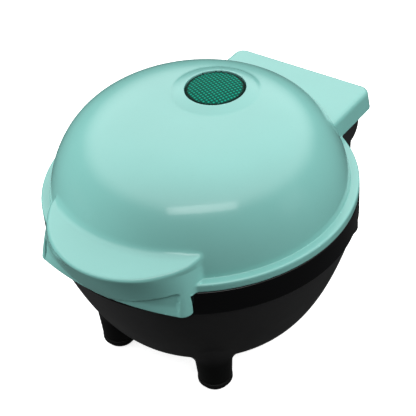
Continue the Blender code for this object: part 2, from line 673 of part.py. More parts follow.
def build_bracket(finish):
    """Rear support: two pin lugs on a curved saddle, a hollow spine that a cord winds
    round, and a heel below with a turned-up lip."""
    inner, outer, low, high = SADDLE
    front = inner - 0.0020       # trimmed to the band later
    saddle = turned([(front, high), (outer, high), (outer, low), (front, low)])
    bracket = make("hinge_bracket", saddle, finish["charcoal"])
    limits = block((-LUG_X[1], 0.030, low - 0.002), (LUG_X[1], 0.090, high + 0.002))
    combine(bracket, "INTERSECT", tool("saddle_limits", limits))
    add(bracket, "lugs", mirrored_x(lug))
    add(bracket, "spine", block((-SPINE_HALF, 0.030, HEEL_LOW + 0.001),
                                (SPINE_HALF, SPINE_BACK, low + 0.006)))
    add(bracket, "screw_bosses", mirrored_x(lambda side: rod(
        0.0040, 0.050, 0.0745, "Y", (side * BRACKET_SCREW[0], 0.0, BRACKET_SCREW[1]), 20)))
    heel = stacked([rounded_rectangle(HEEL_HALF, 0.0490, HEEL_BACK, 0.008, height)
                    for height in (HEEL_LOW, HEEL_TOP)])
    add(bracket, "heel", heel)
    tray = stacked([rounded_rectangle(HEEL_HALF - 0.0028, 0.0400, HEEL_BACK - 0.0028, 0.0055, height)
                    for height in (HEEL_LOW + 0.0028, HEEL_TOP + 0.01)])
    tray_room = tool("tray_room", tray)
    combine(tray_room, "DIFFERENCE", tool("spine_keep", block(
        (-SPINE_HALF, 0.030, HEEL_LOW), (SPINE_HALF, SPINE_BACK, HEEL_TOP + 0.02))))
    combine(bracket, "DIFFERENCE", tray_room)
    cut(bracket, "spine_room", block((-SPINE_HALF + WALL, 0.025, HEEL_LOW + 0.0040),
                                     (SPINE_HALF - WALL, SPINE_BACK - WALL, low + 0.0030)))
    above = HINGE_Z + 0.0200
    clear = [(0.0, above), (RIM_RADIUS + GAP, above), (RIM_RADIUS + GAP, BAND_BOTTOM - 0.0006)]
    bowl = [(radius + GAP, height - GAP) for radius, height in bowl_profile(0.0)]
    cut(bracket, "body_clearance", turned(clear + bowl + [(0.0, BOWL_FLOOR - GAP)]))
    cut(bracket, "pin_bores", rod(BORE_RADIUS, -0.0338, 0.0338, "X", (0.0, HINGE_Y, HINGE_Z)))
    cut(bracket, "screw_holes", mirrored_x(lambda side: joined(
        rod(SCREW_HOLE, 0.040, 0.090, "Y", (side * BRACKET_SCREW[0], 0.0, BRACKET_SCREW[1]), 16))))
    cut(bracket, "screw_seats", mirrored_x(lambda side: rod(
        0.0036, 0.0725, 0.090, "Y", (side * BRACKET_SCREW[0], 0.0, BRACKET_SCREW[1]), 20)))
    cut(bracket, "inlet_hole", rod(0.0043, 0.070, 0.080, "Y", (0.0, 0.0, CORD_Z), 24))
    cut(bracket, "heel_screw_hole", rod(SCREW_HOLE, 0.005, 0.020,
                                        centre=(0.0, HEEL_SCREW_Y, 0.0), segments=12))
    tongue_low = HEEL_LOW + 0.0010
    heel_profile = [(radius, tongue_low - GAP + height)
                    for radius, height in pan_screw(0.0105)]
    make("heel_screw", turned(heel_profile, 12, "Z", (0.0, HEEL_SCREW_Y, 0.0)), finish["steel"])

    pin_end = 0.0335
    make("hinge_pin", rod(PIN_RADIUS, -pin_end, pin_end, "X", (0.0, HINGE_Y, HINGE_Z)), finish["steel"])
    for side, sign in (("left", -1.0), ("right", 1.0)):
        profile = pan_screw(0.0120)
        points = [(radius, 0.0725 + GAP - height) for radius, height in profile][::-1]
        centre = (sign * BRACKET_SCREW[0], 0.0, BRACKET_SCREW[1])
        make(f"bracket_screw_{side}", turned(points, 12, "Y", centre), finish["steel"])
    wall = SPINE_BACK - WALL
    bushing = [(0.0026, wall - 0.0020), (0.0054, wall - 0.0020), (0.0054, wall - GAP), (0.0040, wall - GAP),
               (0.0040, SPINE_BACK + GAP), (0.0058, SPINE_BACK + GAP), (0.0052, SPINE_BACK + 0.0025),
               (0.0026, SPINE_BACK + 0.0025)]
    make("cord_bushing", turned(bushing, 24, "Y", (0.0, 0.0, CORD_Z)), finish["rubber"])


def build_electrics(finish):
    """Terminal block, thermostat, fuse and leads in the bowl, and the lid's leads."""
    block_top = BLOCK_Z + BLOCK_HEIGHT
    blocks = block((-0.0110, 0.0040, BLOCK_Z), (0.0110, 0.0160, block_top))
    make("terminal_block", blocks, finish["ceramic"])
    top = PAN_FLOOR - PAN_SHEET - GAP
    stat = [(0.0, top - 0.0110), (0.0060, top - 0.0110), (0.0060, top - 0.0070), (0.0085, top - 0.0065),
            (0.0085, top - 0.0010), (0.0065, top), (0.0, top)]
    make("thermostat", turned(stat, 24, "Z", (-0.0200, -0.0100, 0.0)), finish["steel"])
    fuse = rod(0.0020, -0.0080, 0.0080, "X", (0.0220, -0.0120, top - 0.0040), 16)
    make("thermal_fuse", fuse, finish["ceramic"])
    element_end = ELEMENT_HEIGHT - ELEMENT_TAIL
    for name, side in (("supply_lead_live", -1.0), ("supply_lead_neutral", 1.0)):
        route = [(side * 0.0015, 0.0705, CORD_Z), (side * 0.0015, 0.0600, CORD_Z),
                 (side * 0.0022, 0.0450, CORD_Z + 0.001), (side * 0.0040, 0.0300, CORD_Z - 0.001),
                 (side * 0.0050, 0.0220, CORD_Z - 0.007), (side * 0.0050, 0.0185, 0.0330)]
        tube(name, smooth_route(route, 3), LEAD_RADIUS, finish["wire"], sides=4)
    tail = polar(DONUT_RING, ELEMENT_ENDS[1])
    to_element = [(0.0085, 0.0120, block_top + 0.0010), (0.0088, 0.0150, 0.0420),
                  (tail[0] + 0.001, tail[1] - 0.006, 0.0420), (tail[0], tail[1], element_end - 0.0012)]
    tube("element_lead", smooth_route(to_element, 4), LEAD_RADIUS, finish["wire"], sides=4)
    to_thermostat = [(-0.0085, 0.0080, block_top + 0.0010), (-0.0110, 0.0030, 0.0420),
                     (-0.0180, -0.0070, 0.0420), (-0.0200, -0.0100, top - 0.0122)]
    tube("thermostat_lead", smooth_route(to_thermostat, 4), LEAD_RADIUS, finish["wire"], sides=4)


def build_lid_lead(hinge, finish):
    """Lead from the upper element's end to the lamp holder."""
    element_end = flipped(ELEMENT_HEIGHT - ELEMENT_TAIL, True)
    end = polar(DONUT_RING, ELEMENT_ENDS[0], element_end + 0.0006)
    holder_low = CLIP_TOP - GAP - HOLDER_DEPTH
    route = [end, (end[0] - 0.001, end[1] + 0.0005, end[2] + 0.003), (-0.0110, 0.0230, end[2]),
             (-0.0040, 0.0180, holder_low - 0.0050), (0.0, LENS_Y, holder_low - 0.0014)]
    tube("lamp_lead", smooth_route(route, 4), LEAD_RADIUS, finish["wire"], hinge, sides=4)


def main():
    for old in list(bpy.data.objects):
        bpy.data.objects.remove(old, do_unlink=True)
    finish = {
        "teal": material("teal gloss plastic", (0.36, 0.68, 0.62), 0.22),
        "gloss_black": material("gloss black plastic", (0.010, 0.010, 0.011), 0.15),
        "charcoal": material("charcoal plastic", (0.030, 0.030, 0.032), 0.35),
        "black": material("black plastic", (0.015, 0.015, 0.015), 0.45),
        "rubber": material("black rubber", (0.018, 0.018, 0.018), 0.75),
        "lens": material("green lens", (0.0, 0.20, 0.12), 0.12, alpha=0.8),
        "nonstick": material("dark non-stick coating", (0.030, 0.029, 0.029), 0.42, 0.3),
        "steel": material("plated steel", (0.55, 0.55, 0.56), 0.32, 1.0),
        "sheet": material("aluminised steel sheet", (0.66, 0.66, 0.65), 0.38, 1.0),
        "ceramic": material("white ceramic", (0.80, 0.78, 0.74), 0.45),
        "lamp": material("lamp glass", (0.55, 0.65, 0.55), 0.10, alpha=0.6),
        "wire": material("silicone wire", (0.45, 0.05, 0.04), 0.55),
    }
    hinge = bpy.data.objects.new("lid_hinge", None)
    bpy.context.scene.collection.objects.link(hinge)
    hinge.location = (0.0, HINGE_Y, HINGE_Z)
    bpy.context.view_layer.update()

    build_bowl(finish)
    build_band(finish)
    build_bracket(finish)
    build_electrics(finish)
    plate("lower_baking_plate", False, finish["nonstick"], None)
    element("lower_heating_element", False, finish["steel"], None)
    seat = pan("lower_reflector", False, 0.0625, finish["sheet"], None)
    plate_screws("lower_plate_screw", False, seat, 0.0100, finish["steel"], None)
    build_lid(hinge, finish)
    plate("upper_baking_plate", True, finish["nonstick"], hinge)
    element("upper_heating_element", True, finish["steel"], hinge)
    seat = pan("upper_carrier_pan", True, 0.0645, finish["sheet"], hinge)
    build_lid_lead(hinge, finish)
    plate_screws("upper_plate_screw", True, seat, 0.0070, finish["steel"], hinge)
    for whole in bpy.data.objects:
        if whole.parent is None:
            whole.location.y += AXIS_Y


main()
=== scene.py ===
import json
import math

import bmesh
import bpy
import numpy as np
from mathutils import Matrix, Vector


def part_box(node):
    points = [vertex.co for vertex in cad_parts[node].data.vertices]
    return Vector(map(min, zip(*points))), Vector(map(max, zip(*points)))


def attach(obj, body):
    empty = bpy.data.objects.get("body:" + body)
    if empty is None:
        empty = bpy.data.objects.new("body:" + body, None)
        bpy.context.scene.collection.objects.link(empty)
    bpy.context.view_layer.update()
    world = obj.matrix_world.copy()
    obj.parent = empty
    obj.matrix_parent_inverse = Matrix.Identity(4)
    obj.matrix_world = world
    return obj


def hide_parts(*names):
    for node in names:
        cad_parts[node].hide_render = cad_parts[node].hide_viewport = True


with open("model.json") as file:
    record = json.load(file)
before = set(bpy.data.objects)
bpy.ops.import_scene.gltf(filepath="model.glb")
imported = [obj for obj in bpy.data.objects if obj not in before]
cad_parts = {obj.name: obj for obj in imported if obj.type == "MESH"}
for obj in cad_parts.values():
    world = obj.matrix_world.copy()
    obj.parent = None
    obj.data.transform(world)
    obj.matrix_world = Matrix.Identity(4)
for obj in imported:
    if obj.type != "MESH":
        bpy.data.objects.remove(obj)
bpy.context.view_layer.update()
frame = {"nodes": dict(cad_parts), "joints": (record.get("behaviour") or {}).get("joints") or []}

# ---- sizes, in metres, read from the frame; Y is measured from the round body's axis ---------
shell_low, shell_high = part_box("lid_shell")
band_low, band_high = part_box("base_band")
lens_low, lens_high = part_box("indicator_lens")
bracket_low, bracket_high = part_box("hinge_bracket")
lower_low, lower_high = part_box("lower_baking_plate")
upper_low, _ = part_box("upper_baking_plate")
pad_low, pad_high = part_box("foot_pad_front_right")
bushing_low, bushing_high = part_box("cord_bushing")
pin_low, pin_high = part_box("hinge_pin")
AXIS = Vector((0.0, (lower_low.y + lower_high.y) / 2.0, 0.0))
hinge = Vector(frame["joints"][0]["pos_m"]) - AXIS

GAP = 0.0003
WALL = 0.0025
RIM = band_high.x
REACH = shell_high.y - AXIS.y
FRONT_REACH = 0.0840
BASE_TOP = band_high.z
BAND_BOTTOM = band_low.z
FLANGE_LOW = BASE_TOP + GAP
FLANGE_TOP = FLANGE_LOW + 0.0041
MOUTH = RIM - 0.0080

DOME_RADIUS = RIM - 0.0041
DOME_HEIGHT = 0.0394
DOME_ACROSS, DOME_UPWARD = 4.8, 1.43         # how square the dome is across and upward

LENS_Y = (lens_low.y + lens_high.y) / 2.0 - AXIS.y
LENS_RADIUS = lens_high.x
COLLAR_TOP = shell_high.z
LENS_SEAT = COLLAR_TOP - 0.0030
LENS_PITCH = 0.00165                         # between the lens's small pyramids

HANDLE_TOP = FLANGE_TOP + 0.0113             # where its sloping top meets the dome
HANDLE_SLOPE, HANDLE_SLOPE_START = 0.25, 0.0660
HANDLE_LOW = shell_low.z
LEAN_START = FLANGE_TOP + 0.0065             # below this height the front wall leans in
HANDLE_BACK, HANDLE_HALF = -0.0400, 0.0436   # the top edge: part of an ellipse
HANDLE_END = 0.0407                          # the two end walls
HANDLE_EDGE, HANDLE_CORNER = 0.0016, 0.0032
HANDLE_FILLET = 0.0024
FOOT_FRONT, FOOT_ARC = -0.0753, 0.1300       # the lower edge: a shallow arc
SCOOP = (0.0036, 0.0365)
SCOOP_DEPTH = 0.0008
SKIRT_END = -0.0640
SKIRT_CLEARANCE = 0.0012
ROOT = 0.0450                                # the handle and the hood start this far from the axis

HOOD_HALF = 0.0380
HOOD_TOP = FLANGE_TOP + 0.0095
HOOD_LOW = FLANGE_TOP - 0.0004
HOOD_CORNER = 0.0050
HOOD_EDGE = 0.0024
HOOD_DRAFT = 0.0014
HOOD_WALL = 0.0022

LUG_RADIUS = 0.0092
LUG_INNER, LUG_OUTER = 0.0255, 0.0352
LUG_ROOM = 0.0005                            # clearance round each lug inside the lid
EAR_INNER, EAR_OUTER, EAR_RADIUS = 0.0200, 0.0250, 0.0042
PIN_RADIUS = (pin_high.z - pin_low.z) / 2.0
PIN_END = pin_high.x
BORE = PIN_RADIUS + GAP

BOWL_TOP = 0.0716
BOWL_LIP = BOWL_TOP - 0.0018
BOWL_LIP_TOP = 0.0750
BOWL_BELLY = (0.0600, FLANGE_TOP - 0.0577)
BOWL_FLOOR = 0.0140
BOWL_FLOOR_RADIUS = 0.0452
FOOT_X, FOOT_Y = 0.0281, 0.0373
LEG_RADIUS = 0.0092
PAD_TOP = pad_high.z
PAD_RADIUS = (pad_high.x - pad_low.x) / 2.0

PLATE_RADIUS = lower_high.x
PLATE_LAND = 0.0030
DONUT_RING = 0.0325
DONUT_RADIUS, DONUT_HALF, DONUT_DEPTH = 0.0135, 0.0072, 0.0090
CUP_DEPTH = 0.0117
HUB_RADIUS, HUB_DEPTH = 0.0045, 0.0047
SCREW_RING, SCREW_ANGLES = 0.0595, (30.0, 150.0, 270.0)
BOSS_DEPTH = 0.0077
TAB_INNER, TAB_OUTER, TAB_HALF, TAB_THICKNESS = 0.0555, 0.0672, 0.0050, 0.0024
MIRROR_SUM = lower_high.z + upper_low.z      # upper plate height = this - lower plate height

CORD_Z = (bushing_low.z + bushing_high.z) / 2.0
BRACKET_SCREW = (0.0220, 0.0605)
SADDLE = (RIM + GAP, RIM + 0.0033, 0.0560, 0.0730)
SPINE_HALF, SPINE_BACK = 0.0160, 0.0758
HEEL_LOW = bracket_low.z
HEEL_TOP = HEEL_LOW + 0.0102
HEEL_HALF = bracket_high.x
HEEL_BACK = bracket_high.y - AXIS.y
HEEL_SCREW_Y = 0.0370
POST_RADIUS = 0.0040                         # posts and bosses that take a screw
BRACKET_SEAT_Y = 0.0725                      # where the bracket's two screw heads sit
SCREW_HEAD, SCREW_HEIGHT, SCREW_SHANK, SCREW_HOLE = 0.0030, 0.0018, 0.0015, 0.0018


# ---- solids as fields: negative inside, and close to a distance ------------------------------
def meet(first, second, edge=0.0):
    """Inside both, the edge between them rounded."""
    return np.minimum(np.maximum(first, second), -edge) + np.hypot(
        np.maximum(first + edge, 0.0), np.maximum(second + edge, 0.0))


def blend(first, second, fillet=0.0):
    """Inside either, with a fillet where they join."""
    return -meet(-first, -second, fillet)


def without(first, second, edge=0.0):
    """Inside the first and outside the second."""
    return meet(first, -second, edge)


def between(value, low, high):
    return meet(low - value, value - high)


def box_outline(across, along, half, back, corner):
    """Rounded rectangle that is symmetric across and ends at back."""
    outer = np.abs(across) - (half - corner)
    past = along - (back - corner)
    return (np.hypot(np.maximum(outer, 0.0), np.maximum(past, 0.0))
            + np.minimum(np.maximum(outer, past), 0.0) - corner)


def squared(across, upward, radius, height, across_power, upward_power):
    """Super-ellipse, divided by its slope."""
    out, rise = across / radius, upward / height
    value = out ** across_power + rise ** upward_power - 1.0
    slope = np.hypot(across_power / radius * out ** (across_power - 1.0),
                     upward_power / height * rise ** (upward_power - 1.0))
    return value / np.maximum(slope, 5.0)


def slope_of(field, spots, step=0.00002):
    """The field's gradient at each spot."""
    slope = np.empty_like(spots)
    for axis in range(3):
        nudge = np.zeros(3)
        nudge[axis] = step
        slope[:, axis] = (field(*(spots + nudge).T) - field(*(spots - nudge).T)) / (2.0 * step)
    return slope


def settled(field, spots, rounds, reach):
    """The points after Newton steps onto the field's surface."""
    for _ in range(rounds):
        slope = slope_of(field, spots)
        steep = np.maximum((slope ** 2).sum(axis=1), 0.05)
        move = -(field(*spots.T) / steep)[:, None] * slope
        length = np.maximum(np.linalg.norm(move, axis=1), 1e-12)
        spots = spots + move * np.minimum(1.0, reach / length)[:, None]
    return spots


def skin(field, low, high, pitch):
    """Quads round the solid on a grid: one point in each cell that the surface crosses."""
    counts = [int(math.ceil((top - bottom) / pitch)) + 4 for bottom, top in zip(low, high)]
    origin = np.array([bottom - 1.43 * pitch for bottom in low])
    axes = [start + pitch * np.arange(count) for start, count in zip(origin, counts)]
    values = np.stack([field(*np.meshgrid([x], axes[1], axes[2], indexing="ij"))[0] for x in axes[0]])
    total = np.zeros((values.size, 3))
    number = np.zeros(values.size)
    quads = []
    for axis in range(3):
        near = [slice(None)] * 3
        far = [slice(None)] * 3
        near[axis], far[axis] = slice(0, -1), slice(1, None)
        start, end = values[tuple(near)], values[tuple(far)]
        crossing = np.argwhere((start < 0.0) != (end < 0.0))
        first, last = start[tuple(crossing.T)], end[tuple(crossing.T)]
        spots = crossing.astype(float)
        spots[:, axis] += first / (first - last)
        corners = []
        for back_b, back_c in ((1, 1), (0, 1), (0, 0), (1, 0)):
            cell = crossing.copy()
            cell[:, (axis + 1) % 3] -= back_b
            cell[:, (axis + 2) % 3] -= back_c
            flat = np.ravel_multi_index(cell.T, values.shape)
            for part in range(3):
                total[:, part] += np.bincount(flat, spots[:, part], values.size)
            number += np.bincount(flat, minlength=values.size)
            corners.append(flat)
        faces = np.stack(corners, axis=1)
        faces[first > 0.0] = faces[first > 0.0][:, ::-1]
        quads.append(faces)
    used = np.flatnonzero(number)
    place = np.full(values.size, -1)
    place[used] = np.arange(len(used))
    points = origin + pitch * total[used] / number[used][:, None]
    return points, place[np.concatenate(quads)]


def moulded(field, low, high, pitch, turn=14.0, finest=0.00016, rounds=3):
    """A closed fine mesh of the field's surface, finer where it bends."""
    points, quads = skin(field, low, high, pitch)
    points = settled(field, points, 5, pitch * 0.7)
    mesh = bpy.data.meshes.new("skin")
    mesh.from_pydata(points.tolist(), [], quads.tolist())
    shape = bmesh.new()
    shape.from_mesh(mesh)
    bpy.data.meshes.remove(mesh)
    bmesh.ops.triangulate(shape, faces=shape.faces)
    for _ in range(rounds):
        spots = np.array([vert.co for vert in shape.verts])
        slope = slope_of(field, spots)
        slope /= np.maximum(np.linalg.norm(slope, axis=1), 1e-9)[:, None]
        shape.verts.index_update()
        ends = np.array([(edge.verts[0].index, edge.verts[1].index) for edge in shape.edges])
        cosine = (slope[ends[:, 0]] * slope[ends[:, 1]]).sum(axis=1)
        length = np.linalg.norm(spots[ends[:, 0]] - spots[ends[:, 1]], axis=1)
        bent = (cosine < math.cos(math.radians(turn))) & (length > 2.0 * finest)
        shape.edges.ensure_lookup_table()
        picked = [shape.edges[index] for index in np.flatnonzero(bent)]
        if not picked:
            break
        bmesh.ops.subdivide_edges(shape, edges=picked, cuts=1)
        bmesh.ops.triangulate(shape, faces=[face for face in shape.faces if len(face.verts) > 3])
        spots = settled(field, np.array([vert.co for vert in shape.verts]), 3, pitch * 0.3)
        for vert, spot in zip(shape.verts, spots):
            vert.co = spot
    return shape


# ---- pieces and turned shapes -----------------------------------------------------------------
def piece(name, shape, finish, body, nodes, sharp=40.0):
    """Turns a filled bmesh into a piece that rides on a body and stands for CAD nodes."""
    mesh = bpy.data.meshes.new(name)
    bmesh.ops.translate(shape, vec=AXIS, verts=shape.verts)
    bmesh.ops.recalc_face_normals(shape, faces=shape.faces)
    shape.to_mesh(mesh)
    shape.free()
    mesh.shade_smooth()
    mesh.set_sharp_from_angle(angle=math.radians(sharp))
    mesh.materials.append(finish)
    made = bpy.data.objects.new(name, mesh)
    bpy.context.scene.collection.objects.link(made)
    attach(made, body)
    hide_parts(*nodes)


def rounded_profile(points, radii, steps=5):
    """Corner points of a closed (radius, height) outline, each rounded by its own radius."""
    outline = []
    count = len(points)
    for place, (point, radius) in enumerate(zip(points, radii)):
        here = Vector(point)
        before = (Vector(points[place - 1]) - here).normalized()
        after = (Vector(points[(place + 1) % count]) - here).normalized()
        if not radius:
            outline.append(tuple(here))
            continue
        half = before.angle(after) / 2.0
        reach = radius / math.tan(half)
        centre = here + (before + after).normalized() * (radius / math.sin(half))
        start, end = here + before * reach - centre, here + after * reach - centre
        sweep = math.atan2(start.x * end.y - start.y * end.x, start.dot(end))
        for step in range(steps + 1):
            outline.append(tuple(centre + Matrix.Rotation(sweep * step / steps, 2) @ start))
    return outline


def turned(profile, segments=128, axis="Z", centre=(0.0, 0.0, 0.0)):
    """Closed (radius, height) outline turned about an axis."""
    shape = bmesh.new()
    rings = []
    for radius, height in profile:
        if radius < 1e-7:
            rings.append([shape.verts.new((0.0, 0.0, height))])
            continue
        rings.append([shape.verts.new((radius * math.cos(math.tau * step / segments),
                                       radius * math.sin(math.tau * step / segments), height))
                      for step in range(segments)])
    for ring, following in zip(rings, rings[1:] + rings[:1]):
        for step in range(segments):
            corners = (ring[step % len(ring)], ring[(step + 1) % len(ring)],
                       following[(step + 1) % len(following)], following[step % len(following)])
            unique = list(dict.fromkeys(corners))
            if len(unique) > 2:
                shape.faces.new(unique)
    turns = {"X": Matrix.Rotation(math.radians(90.0), 4, "Y"),
             "Y": Matrix.Rotation(math.radians(-90.0), 4, "X"),
             "Z": Matrix.Identity(4)}
    bmesh.ops.transform(shape, matrix=Matrix.Translation(centre) @ turns[axis], verts=shape.verts)
    return shape


# ---- materials --------------------------------------------------------------------------------
class Finish:
    """A Principled material whose colour, roughness and relief vary over the surface."""

    def __init__(self, name, **values):
        self.material = bpy.data.materials.new(name)
        self.material.use_nodes = True
        self.tree = self.material.node_tree
        self.shader = self.tree.nodes["Principled BSDF"]
        for socket, value in values.items():
            self.shader.inputs[socket.replace("_", " ")].default_value = value
        self.place = self.tree.nodes.new("ShaderNodeTexCoord").outputs["Object"]

    def add(self, kind, inputs=(), **settings):
        node = self.tree.nodes.new(kind)
        for setting, value in settings.items():
            setattr(node, setting, value)
        for socket, value in dict(inputs).items():
            if isinstance(value, bpy.types.NodeSocket):
                self.tree.links.new(value, node.inputs[socket])
            else:
                node.inputs[socket].default_value = value
        return node

    def noise(self, scale, detail=2.0, stretch=(1.0, 1.0, 1.0)):
        """Noise with about scale features per metre."""
        spread = self.add("ShaderNodeMapping", {"Vector": self.place, "Scale": stretch})
        return self.add("ShaderNodeTexNoise", {"Vector": spread.outputs[0], "Scale": scale,
                                               "Detail": detail}).outputs["Fac"]

    def span(self, value, low, high, start=0.3, end=0.7):
        """The value's range from start to end, spread from low to high."""
        return self.add("ShaderNodeMapRange", {"Value": value, "From Min": start, "From Max": end,
                                               "To Min": low, "To Max": high}).outputs[0]

    def mix(self, share, first, second):
        node = self.add("ShaderNodeMix", data_type="RGBA")
        for socket, value in ((0, share), (6, first), (7, second)):
            if isinstance(value, bpy.types.NodeSocket):
                self.tree.links.new(value, node.inputs[socket])
            else:
                node.inputs[socket].default_value = value
        return node.outputs[2]

    def to(self, socket, value):
        self.tree.links.new(value, self.shader.inputs[socket])

    def relief(self, height, depth):
        """Bump of the given depth in metres."""
        bump = self.add("ShaderNodeBump", {"Height": height, "Distance": depth, "Strength": 1.0})
        self.to("Normal", bump.outputs[0])

    def worn_and_highlit_edges(self):
        """0 on flat ground, 1 on convex edges: where rubbing and painted highlight lighten the colour."""
        return self.span(self.add("ShaderNodeNewGeometry").outputs["Pointiness"], 0.0, 1.0, 0.53, 0.62)


def shade(colour, factor):
    return tuple(min(1.0, part * factor) for part in colour) + (1.0,)


def moulded_plastic(name, colour, rough, grain=2200.0, grain_depth=0.000012, wear_and_highlight=1.12, low_shade=1.0,
                    **values):
    """Moulded plastic: faint clouding, fine grain, smudges, and convex edges lightened partly as rubbing
    and partly as painted highlight; an optional painted shade darkens the low parts.
    """
    made = Finish(name, **values)
    cloud = made.span(made.noise(26.0, 3.0), 0.0, 1.0)
    base = made.mix(cloud, shade(colour, 0.975), shade(colour, 1.025))
    speck = made.span(made.noise(900.0, 2.0), 0.0, 0.18, 0.62, 0.74)
    base = made.mix(speck, base, shade(colour, 0.86))
    # Convex edges lightened: partly rubbed plastic, partly painted highlight on the small roundings.
    edge = made.worn_and_highlit_edges()
    worn_and_highlit = made.mix(edge, base, shade(colour, wear_and_highlight))
    # Painted shade: the legs and the bowl's lowest part darkened towards the floor.
    if low_shade != 1.0:
        height = made.add("ShaderNodeSeparateXYZ", {"Vector": made.place}).outputs["Z"]
        low = made.span(height, 1.0, 0.0, PAD_TOP + 0.0120, BOWL_FLOOR + 0.0140)
        worn_and_highlit = made.mix(low, worn_and_highlit, shade(colour, low_shade))
    made.to("Base Color", worn_and_highlit)
    smudge = made.span(made.noise(70.0, 5.0), rough * 0.86, rough * 1.2, 0.35, 0.68)
    made.to("Roughness", smudge)
    made.relief(made.noise(grain, 3.0), grain_depth)
    return made.material


def metal(name, colour, rough, stretch=(1.0, 1.0, 1.0), scale=900.0):
    """Plated or drawn metal with fine streaks and dull patches."""
    made = Finish(name, Metallic=1.0)
    streak = made.noise(scale, 4.0, stretch)
    patch = made.span(made.noise(120.0, 4.0), 0.0, 1.0)
    made.to("Base Color", made.mix(patch, shade(colour, 0.9), shade(colour, 1.05)))
    made.to("Roughness", made.span(streak, rough * 0.75, rough * 1.3))
    made.relief(streak, 0.00001)
    return made.material


def coated_metal(name, colour, rough):
    """Sprayed non-stick coating: dark, with mica specks and a slight orange peel."""
    made = Finish(name, Metallic=0.15, Coat_Weight=0.25, Coat_Roughness=0.35)
    speck = made.span(made.noise(2600.0, 1.0), 0.0, 0.6, 0.66, 0.74)
    cloud = made.span(made.noise(60.0, 3.0), 0.0, 1.0)
    base = made.mix(cloud, shade(colour, 0.85), shade(colour, 1.15))
    made.to("Base Color", made.mix(speck, base, shade(colour, 5.0)))
    made.to("Roughness", made.span(made.noise(140.0, 4.0), rough * 0.85, rough * 1.2))
    made.relief(made.noise(1500.0, 2.0), 0.00003)
    return made.material


def lens_plastic(name, colour, pitch, turn):
    """Clear green plastic: a grid of small pyramids seen through its smooth top, each pyramid given
    painted highlight and the lines between them painted shade, with a painted shadow round its edge.
    """
    made = Finish(name, Coat_Weight=0.06, Coat_Roughness=0.06, Specular_IOR_Level=0.03)
    spread = made.add("ShaderNodeMapping", {"Vector": made.place, "Rotation": (0.0, 0.0, turn),
                                            "Scale": (2.0 / pitch, 2.0 / pitch, 1.0)})
    parts = made.add("ShaderNodeSeparateXYZ", {"Vector": spread.outputs[0]})
    ramps = []
    for axis in ("X", "Y"):
        cell = made.add("ShaderNodeMath", {0: parts.outputs[axis], 1: 1.0}, operation="PINGPONG")
        ramps.append(cell.outputs[0])
    pyramid = made.add("ShaderNodeMath", {0: ramps[0], 1: ramps[1]}, operation="MULTIPLY").outputs[0]
    valley = made.add("ShaderNodeMath", {0: ramps[0], 1: ramps[1]}, operation="MINIMUM").outputs[0]
    # Painted highlight on each pyramid and painted shade in the lines between them, as the prisms catch
    # light.
    painted_facet_light = made.span(pyramid, 0.0, 1.0, 0.25, 0.8)
    cloud = made.span(made.noise(180.0, 3.0), 0.0, 1.0)
    base = made.mix(painted_facet_light, shade(colour, 0.55), shade(colour, 1.75))
    line = made.span(valley, 1.0, 0.0, 0.08, 0.34)
    dark = made.mix(line, base, shade(colour, 0.16))
    mixed = made.mix(made.span(cloud, 0.0, 0.35, 0.0, 1.0), dark, base)
    centred = made.add("ShaderNodeMapping", {"Vector": made.place, "Scale": (1.0, 1.0, 0.0),
                                             "Location": (0.0, -LENS_Y - AXIS.y, 0.0)})
    radius = made.add("ShaderNodeVectorMath", {0: centred.outputs[0]}, operation="LENGTH").outputs["Value"]
    # Painted shadow: a dark ring round the lens's edge, where the gap to the collar lies in shade.
    painted_edge_shadow = made.span(radius, 0.0, 1.0, LENS_RADIUS - 0.0018, LENS_RADIUS - 0.0009)
    made.to("Base Color", made.mix(painted_edge_shadow, mixed, shade(colour, 0.06)))
    made.to("Roughness", made.span(pyramid, 0.45, 0.3, 0.0, 1.0))
    made.relief(pyramid, 0.00012)
    return made.material


TEAL = (0.218, 0.512, 0.472)
CHARCOAL = (0.024, 0.024, 0.025)
# teal: its edges strongly lightened, mostly as painted highlight.
teal = moulded_plastic("teal plastic", TEAL, 0.22, wear_and_highlight=1.3, Coat_Weight=0.5, Coat_Roughness=0.07)
gloss_black = moulded_plastic("gloss black plastic", (0.0025, 0.0026, 0.003), 0.12, wear_and_highlight=1.8)
# charcoal: painted shade darkens its legs and lowest part.
charcoal = moulded_plastic("charcoal plastic", CHARCOAL, 0.34, wear_and_highlight=1.6, grain_depth=0.00002, low_shade=0.08)
black = moulded_plastic("black plastic", (0.014, 0.014, 0.014), 0.45, wear_and_highlight=1.5)
rubber = moulded_plastic("black rubber", (0.003, 0.003, 0.003), 0.72, grain=3200.0, grain_depth=0.00004,
                         wear_and_highlight=1.5)
ceramic = moulded_plastic("white ceramic", (0.78, 0.76, 0.71), 0.5, grain=1800.0, grain_depth=0.00003)
wire = moulded_plastic("silicone wire", (0.42, 0.05, 0.04), 0.5, grain_depth=0.00002)
lamp_glass = moulded_plastic("lamp glass", (0.50, 0.62, 0.52), 0.08, Transmission_Weight=0.6)
steel = metal("plated steel", (0.56, 0.56, 0.57), 0.32)
sheet = metal("reflector sheet", (0.66, 0.66, 0.65), 0.36, (1.0, 14.0, 1.0), 240.0)
nonstick = coated_metal("non-stick coating", (0.030, 0.029, 0.029), 0.42)
lens_green = lens_plastic("green lens", (0.002, 0.225, 0.152), LENS_PITCH, math.radians(24.5))


# ---- lid --------------------------------------------------------------------------------------
def dome(x, y, z, inset=0.0):
    """The round cap on the flange, moved inward by inset."""
    return squared(np.hypot(x, y), np.maximum(z - FLANGE_TOP, 0.0), DOME_RADIUS - inset,
                   DOME_HEIGHT - inset, DOME_ACROSS, DOME_UPWARD)


